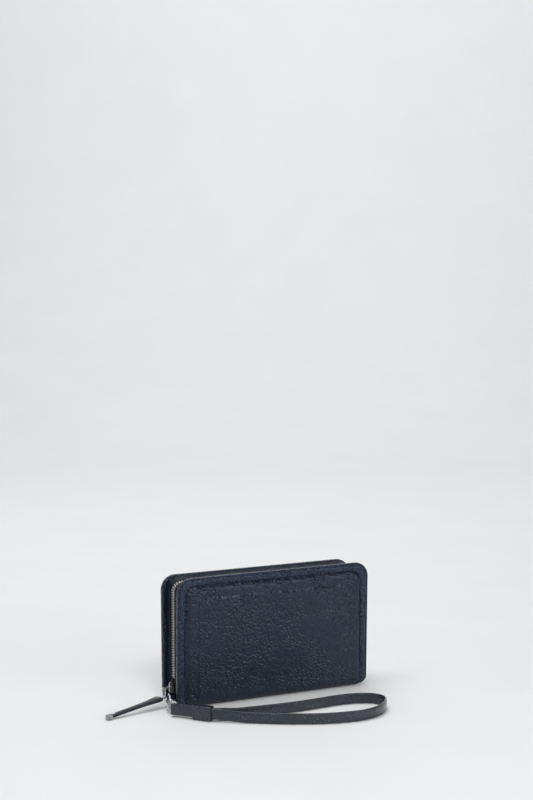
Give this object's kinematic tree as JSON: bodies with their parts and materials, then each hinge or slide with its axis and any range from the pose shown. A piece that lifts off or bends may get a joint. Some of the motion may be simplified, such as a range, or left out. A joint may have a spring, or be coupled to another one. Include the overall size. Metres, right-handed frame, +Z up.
{
  "type": "wristlet wallet",
  "caption": "Zip-around leather wallet standing on its spine, with a clasped wrist strap and a zip pull laid out beside it.",
  "frame": {"origin": "middle of the wallet's foot, on the surface it stands on", "axes": "+X to the right along the wallet's width as seen from its front, +Y to its back, +Z up"},
  "size_m": [0.2567, 0.1388, 0.1145],
  "materials": {
    "cover_leather": "pebbled, semi-gloss",
    "trim_leather": "pebbled, semi-gloss",
    "strap_leather": "semi-gloss",
    "lining": "satin twill",
    "foam": "matte",
    "board": "matte card",
    "zip_tape": "woven",
    "zip_metal": "gunmetal",
    "hardware": "polished nickel"
  },
  "bodies": {
    "front_half": {"front_cover": "cover_leather", "front_border": "trim_leather", "front_padding": "foam", "front_stiffener": "board", "front_lining": "lining", "front_side_wall": "cover_leather", "front_zip_tape": "zip_tape", "front_zip_teeth": "zip_metal", "front_zip_stops": "zip_metal", "front_gussets": "lining", "front_card_slot_low": "lining", "front_card_slot_middle": "lining", "front_card_slot_high": "lining", "spine_stiffener": "board", "spine_lining": "lining", "d_ring_tab": "trim_leather"},
    "back_half": {"back_cover": "cover_leather", "back_border": "trim_leather", "back_padding": "foam", "back_stiffener": "board", "back_lining": "lining", "back_side_wall": "cover_leather", "back_zip_tape": "zip_tape", "back_zip_teeth": "zip_metal", "back_zip_stops": "zip_metal", "back_gussets": "lining", "back_card_slot_low": "lining", "back_card_slot_middle": "lining", "back_card_slot_high": "lining"},
    "coin_pocket": {"coin_pocket": "lining", "coin_zip_tapes": "zip_tape", "coin_zip_teeth": "zip_metal"},
    "coin_slider": {"coin_slider": "hardware"},
    "coin_pull": {"coin_slider_pull": "hardware"},
    "zip_slider": {"slider_body": "hardware", "slider_base": "hardware"},
    "pull_link": {"pull_link": "hardware"},
    "zip_pull": {"pull_tongue": "hardware", "pull_leather_top": "strap_leather", "pull_leather_bottom": "strap_leather", "pull_core": "strap_leather", "pull_rivets": "hardware", "pull_end_cap": "hardware"},
    "d_ring": {"d_ring": "hardware"},
    "clasp_hook": {"clasp_hook": "hardware", "gate_pin": "hardware", "gate_spring": "hardware"},
    "clasp_gate": {"clasp_gate": "hardware"},
    "swivel_ring": {"swivel_ring": "hardware"},
    "wrist_strap": {"strap": "strap_leather", "strap_keeper": "strap_leather"}
  },
  "joints": [
    {"name": "back_open", "type": "hinge", "parent": "front_half", "child": "back_half", "pos_m": [0, 0.01062, 0.007], "axis": [-1, 0, 0], "range_deg": [0, 65]},
    {"name": "pocket_lean", "type": "hinge", "parent": "front_half", "child": "coin_pocket", "pos_m": [0, 0, 0.0065], "axis": [-1, 0, 0], "range_deg": [0, 32.5]},
    {"name": "coin_zip_slide", "type": "slide", "parent": "coin_pocket", "child": "coin_slider", "axis": [-1, 0, 0], "range_m": [0, 0.144]},
    {"name": "coin_pull_turn", "type": "hinge", "parent": "coin_slider", "child": "coin_pull", "pos_m": [0.076, 0, 0.091], "axis": [0, 1, 0], "range_deg": [0, 90]},
    {"name": "zip_slide", "type": "slide", "parent": "front_half", "child": "zip_slider", "axis": [0, 0, 1], "range_m": [0, 0.072]},
    {"name": "link_swing", "type": "hinge", "parent": "zip_slider", "child": "pull_link", "pos_m": [-0.09375, 0, 0.016], "axis": [-0.2756, 0.9613, 0], "range_deg": [0, 60]},
    {"name": "pull_swing", "type": "hinge", "parent": "pull_link", "child": "zip_pull", "pos_m": [-0.10086, -0.00204, 0.0084], "axis": [-0.2756, 0.9613, 0], "range_deg": [0, 35]},
    {"name": "d_ring_swing", "type": "hinge", "parent": "front_half", "child": "d_ring", "pos_m": [-0.0975, -0.005, 0.0067], "axis": [0, 0, -1], "range_deg": [0, 20]},
    {"name": "hook_swing", "type": "hinge", "parent": "d_ring", "child": "clasp_hook", "pos_m": [-0.09978, -0.01277, 0.0067], "axis": [0, 0, 1], "range_deg": [-25, 8]},
    {"name": "gate_open", "type": "hinge", "parent": "clasp_hook", "child": "clasp_gate", "pos_m": [-0.09958, -0.02242, 0.0067], "axis": [0, 0, 1], "range_deg": [0, 20], "stiffness_Nm_per_rad": 0.002, "springref_deg": -8.59},
    {"name": "swivel_spin", "type": "hinge", "parent": "clasp_hook", "child": "swivel_ring", "pos_m": [-0.10259, -0.02237, 0.0067], "axis": [-0.2813, -0.9596, 0], "continuous": true},
    {"name": "strap_swing", "type": "hinge", "parent": "swivel_ring", "child": "wrist_strap", "pos_m": [-0.106, -0.034, 0.0067], "axis": [0, 0, 1], "range_deg": [-60, 4]}
  ],
  "couplings": [
    {"joint": "pocket_lean", "follows": "back_open", "ratio": 0.5}
  ]
}
